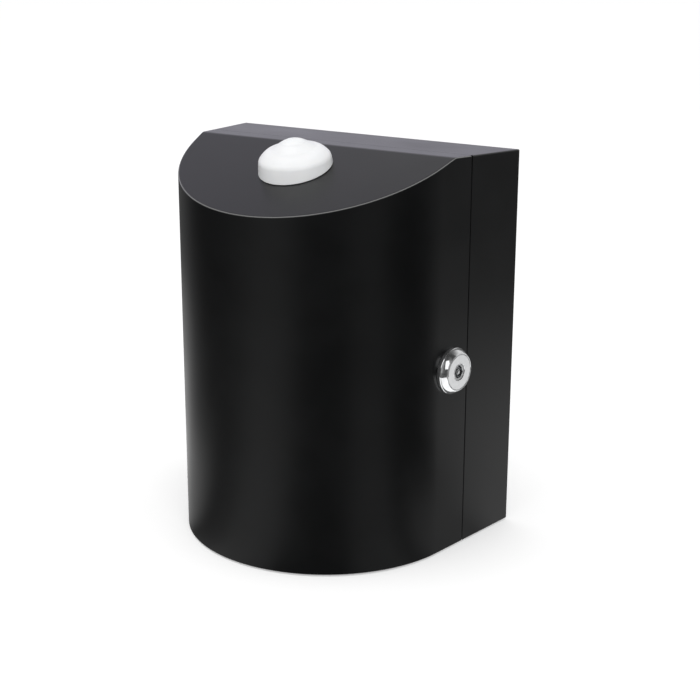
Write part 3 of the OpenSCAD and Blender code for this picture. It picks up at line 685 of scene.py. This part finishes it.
# ---------------------------------------------------------------- lock
def bezel_profile():
    """Section of the lock's ring: a short upright side, a bevel that swells by half a sine wave, a flat face
    with a fine groove, and the step down to the hole round the barrel's neck."""
    foot_r, inner_r, hole_r = BEZEL_R - BEZEL_EDGE_R, PLUG_R + PLUG_GAP, NECK_R + NECK_GAP
    ledge_h, groove_h = BEZEL_H - BEZEL_FACE_T, BEZEL_H - GROOVE_DEEP
    side = [(foot_r, 0), (BEZEL_R, BEZEL_EDGE_R), (BEZEL_R, BEZEL_SHOULDER_H - 0.15),
            (BEZEL_R - 0.12, BEZEL_SHOULDER_H)]
    bevel = [(foot_r + (BEZEL_FACE_R - BEZEL_R + 0.5) * u + BEZEL_SWELL * math.sin(math.pi * u),
              BEZEL_SHOULDER_H + 0.1 + (BEZEL_H - BEZEL_SHOULDER_H - 0.3) * u) for u in np.linspace(0, 1, 14)]
    face = [(BEZEL_FACE_R, BEZEL_H), (GROOVE_R + GROOVE_HALF, BEZEL_H), (GROOVE_R + GROOVE_FLOOR, groove_h),
            (GROOVE_R - GROOVE_FLOOR, groove_h), (GROOVE_R - GROOVE_HALF, BEZEL_H), (inner_r + 0.35, BEZEL_H),
            (inner_r + 0.1, BEZEL_H - 0.08), (inner_r, BEZEL_H - 0.3), (inner_r, ledge_h), (hole_r, ledge_h),
            (hole_r, 0)]
    return side + bevel + face


def box(x_ends, y_ends, z_ends):
    """Closed box between pairs of ends along three local axes."""
    corners = np.array([(x, y, z) for x in x_ends for y in y_ends for z in z_ends])
    return corners, [(0, 1, 3, 2), (4, 6, 7, 5), (0, 4, 5, 1), (2, 3, 7, 6), (0, 2, 6, 4), (1, 5, 7, 3)]


bezel = piece("lock_bezel_ring", [lathe(bezel_profile(), 144)], [CHROME, CHROME_FACE], "door",
              ["lock_bezel"], LOCK_AXES, smooth_deg=20.0)
middles = [LOCK_AXES.inverted() @ (p.center / MM) for p in bezel.data.polygons]
on_face = [m.z > BEZEL_H - 0.06 and math.hypot(m.x, m.y) < BEZEL_FACE_R for m in middles]
bezel.data.polygons.foreach_set("material_index", np.array(on_face, np.int32))

plug_top = BEZEL_H - PLUG_SUNK
cam_top = -BARREL_L - CAM_GAP
key_floor = plug_top - KEY_DEEP
plug_profile = [(0, cam_top), (PLUG_R, cam_top), (PLUG_R, plug_top - 0.3), (PLUG_R - 0.3, plug_top),
                (KEY_R + 0.25, plug_top), (KEY_R, plug_top - 0.25), (KEY_R, key_floor), (0, key_floor)]
# a bar of 4 sides, so its radius reaches the corners of the square
tail_r, tail_low, tail_high = TAIL_W / math.sqrt(2), cam_top - CAM_T + 0.05, cam_top + 0.2
tail_profile = [(0, tail_low), (tail_r, tail_low), (tail_r, tail_high), (0, tail_high)]
plug = piece("lock_plug_turned", [lathe(plug_profile, 96), lathe(tail_profile, 4, math.pi / 4)], CHROME_PLUG,
             "lock_cylinder", ["lock_plug"], LOCK_AXES)
notch_half = KEY_NOTCH_W / 2
notch, notch_faces = box((-KEY_R - notch_half, -1.0), (-notch_half, notch_half), (key_floor, plug_top + 1))
carve(plug, [(in_frame(LOCK_AXES, notch), notch_faces)])

pin_top, pin_foot = plug_top - PLUG_SUNK, key_floor - PIN_SEAT_DEEP
pin_profile = [(0, pin_foot), (KEY_PIN_R, pin_foot), (KEY_PIN_R, pin_top - KEY_PIN_EDGE),
               (KEY_PIN_R - 0.12, pin_top - 0.12), (KEY_PIN_R - KEY_PIN_EDGE, pin_top), (0, pin_top)]
pin = piece("lock_pin_turned", [lathe(pin_profile, 64)], CHROME, "lock_cylinder",
            ["lock_centre_pin"], LOCK_AXES)

# ---------------------------------------------------------------- feet
pad_profile = rounded([(0, 0), (FOOT_R, 0), (FOOT_R, FOOT_H), (0, FOOT_H)], [0, FOOT_EDGE_R, 0, 0], 4)
points, faces = lathe(pad_profile, 48)
feet = [(points + [side * x, y_at(d), 0], faces)
        for x, d in ((REAR_FOOT_X, REAR_FOOT_D), (FRONT_FOOT_X, FRONT_FOOT_D)) for side in (1, -1)]
piece("feet_pads", feet, RUBBER, "housing", ["rubber_feet"])

# ---------------------------------------------------------------- finishes of the CAD nodes
hinge_leaves = ["housing_hinge_leaf", "door_hinge_leaf"]
plated_nodes = ["lock_keeper", "hinge_pin", "lock_washer", "lock_nut", "lock_cam", "cam_washer", "cam_screw"]
for material, nodes in ((COAT_INSIDE, ["base_plate"]), (HINGE_COAT, hinge_leaves), (PLATED, plated_nodes),
                        (ZINC, ["lock_barrel"]), (RUBBER, ["nozzle_gasket"]),
                        (WHITE_NUT, ["nozzle_nut", "insert_ring"])):
    for node in nodes:
        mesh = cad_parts[node].data
        mesh.materials.clear()
        mesh.materials.append(material)

# ---------------------------------------------------------------- floor, light and camera
# brightness of the studio to reflections, by compass direction in degrees from +X towards +Y
COMPASS = ((-180, 0.38), (-170, 0.24), (-157, 0.12), (-135, 0.12), (-122, 0.22), (-112, 0.38), (-98, 0.42),
           (-86, 0.32), (-76, 0.09), (-60, 0.03), (-45, 0.04), (-35, 0.20), (-18, 0.24), (-8, 0.04),
           (8, 0.02), (24, 0.06), (33, 0.53), (46, 0.60), (75, 0.74), (112, 0.82), (128, 0.88), (140, 0.80),
           (165, 0.87), (180, 0.38))
SKY, FLOOR_HALF = 0.86, 12.0


def surroundings(t, x, y):
    """Three values of a direction: the studio's brightness there, from its compass, how far it points behind
    the cabinet, and its share to the right, from -1 to 1."""
    r = (x * x + y * y + 1e-6) ** 0.5
    turn = y.math("ARCTAN2", x) / (2 * math.pi) + 0.5
    ramp = t.node("ShaderNodeValToRGB", {"stops": [(c / 360 + 0.5, v) for c, v in COMPASS]}, {0: turn})
    return Value(t, ramp.outputs[0]), (y / r).between(-0.2, 0.1), x / r


def floor_material():
    """White to the camera, with the object's shadow on it, a pale table to diffuse light, and to reflections
    the studio's pattern, dimmer far from the cabinet and brighter beside its right and left front."""
    material = bpy.data.materials.new("stage_floor")
    t = Tree(material)
    seen, glossy = t.rays()
    place = t.node("ShaderNodeTexCoord").outputs["Object"]
    x, y = t.part(place, 0), t.part(place, 1)
    level, behind, side = surroundings(t, x, y)
    r = (x * x + y * y) ** 0.5
    left = side.between(-0.6, -0.95)
    far = 0.5 - behind * 0.31 - (1 - behind) * left * 0.4
    near_right = side.between(0.8, 0.95) * y.between(-0.03, 0.01) * r.between(0.15, 0.26, 0.26, 0.0)
    near_left = side.between(-0.75, -0.95) * r.between(0.18, 0.32, 0.35, 0.0)
    level = level * (1 - (1 - far) * r.between(0.22, 0.88)) + (near_right + near_left)
    mirrored = t.node("ShaderNodeEmission", {}, {"Color": grey(1.0), "Strength": level}).outputs[0]
    paper = t.node("ShaderNodeBsdfDiffuse", {}, {"Color": grey(0.82)}).outputs[0]
    glow = t.node("ShaderNodeEmission", {}, {"Color": grey(1.0), "Strength": 0.295}).outputs[0]
    lit = t.node("ShaderNodeAddShader", {}, {0: paper, 1: glow}).outputs[0]
    table = t.node("ShaderNodeBsdfDiffuse", {}, {"Color": grey(0.6)}).outputs[0]
    other = t.node("ShaderNodeMixShader", {}, {0: glossy, 1: table, 2: mirrored}).outputs[0]
    whole = t.node("ShaderNodeMixShader", {}, {0: seen, 1: other, 2: lit}).outputs[0]
    t.node("ShaderNodeOutputMaterial", {}, {0: whole})
    return material


def room():
    """White to the camera, an even sky to diffuse light, and the studio's pattern to reflections, which fades
    towards the ceiling. It is a little brighter high up, except at the far left, and what is mirrored from
    behind on the left is a little cooler."""
    world = bpy.data.worlds.new("room")
    bpy.context.scene.world = world
    t = Tree(world)
    seen, glossy = t.rays()
    way = t.node("ShaderNodeTexCoord").outputs["Generated"]
    x, y, z = (t.part(way, k) for k in range(3))
    level, behind, side = surroundings(t, x, y)
    high_right = z.between(0.45, 0.65) * side.between(-0.75, -0.58)
    mirrored = level * SKY * z.between(0.5, 1.0, 1.0, 0.05) * (1 + high_right * 0.3)
    level = seen + (1 - seen) * (glossy * mirrored + (1 - glossy) * SKY)
    tinted = glossy * behind * side.between(0.2, -0.2) * (1 - high_right)
    tone = t.blend(tinted, grey(1.0), (0.97, 0.95, 1.08, 1.0))
    tone = t.blend(seen, tone, grey(1.0))
    back = t.node("ShaderNodeBackground", {}, {"Color": tone, "Strength": level})
    t.node("ShaderNodeOutputWorld", {}, {0: back.outputs[0]})


def softbox(name, place, target, size, power):
    """Rectangular lamp at a place, aimed at a target and not mirrored; size is (width, height)."""
    lamp = bpy.data.lights.new(name, "AREA")
    lamp.shape, lamp.size, lamp.size_y, lamp.energy = "RECTANGLE", *size, power
    obj = bpy.data.objects.new(name, lamp)
    bpy.context.scene.collection.objects.link(obj)
    obj.location = place
    obj.rotation_euler = (Vector(target) - Vector(place)).to_track_quat("-Z", "Y").to_euler()
    obj.visible_glossy = False
    return obj


corners = np.array([[-1, -1, 0], [1, -1, 0], [1, 1, 0], [-1, 1, 0]]) * FLOOR_HALF
floor_mesh = bpy.data.meshes.new("stage_floor")
floor_mesh.from_pydata(corners.tolist(), [], [(0, 1, 2, 3)])
floor_mesh.materials.append(floor_material())
floor = bpy.data.objects.new("stage_floor", floor_mesh)
bpy.context.scene.collection.objects.link(floor)
room()
softbox("lamp_above", (-0.3, -0.5, 1.6), (0, 0, 0.2), (1.0, 1.0), 4.5)
softbox("lamp_front", (0.95, -1.15, 0.75), (0, 0, 0.25), (0.9, 0.9), 7.5)

# white cards that only the chrome of the lock mirrors: two flat on the floor, facing up, and one in front
lock_parts = bpy.data.collections.new("lock_parts")
for shiny in (bezel, plug, pin):
    lock_parts.objects.link(shiny)
card_low = softbox("card_low", (0.18, -0.075, 0.003), (0.18, -0.075, 1.0), (0.18, 0.35), 0.19)
card_left = softbox("card_left", (-0.20, -0.26, 0.003), (-0.20, -0.26, 1.0), (0.24, 0.24), 0.09)
card_front = softbox("card_front", (0.494, -0.516, 0.569), lock_centre, (0.30, 0.56), 0.58)
for card in (card_low, card_left):
    card.rotation_euler = (math.pi, 0, 0)
for card in (card_low, card_left, card_front):
    card.visible_glossy, card.visible_camera = True, False
    card.light_linking.receiver_collection = lock_parts

# the camera's place in metres, and its angles and lens, fitted to the cabinet's edges
CAMERA_AT, SENSOR_W, LENS = (0.4961, -0.7672, 0.4030), 36.0, 76.28
YAW, PITCH, ROLL = math.radians(31.408), math.radians(17.092), math.radians(0.19)
right = Vector((math.cos(YAW), math.sin(YAW), 0))
ahead = Vector((-math.sin(YAW) * math.cos(PITCH), math.cos(YAW) * math.cos(PITCH), -math.sin(PITCH)))
above = right.cross(ahead)
x_axis = right * math.cos(ROLL) + above * math.sin(ROLL)
y_axis = above * math.cos(ROLL) - right * math.sin(ROLL)
camera_data = bpy.data.cameras.new("camera")
camera_data.sensor_width, camera_data.lens = SENSOR_W, LENS
camera = bpy.data.objects.new("camera", camera_data)
bpy.context.scene.collection.objects.link(camera)
camera.matrix_world = local_axes(CAMERA_AT, x_axis, y_axis, -ahead)
bpy.context.scene.camera = camera
bpy.context.scene.view_settings.view_transform = "Standard"
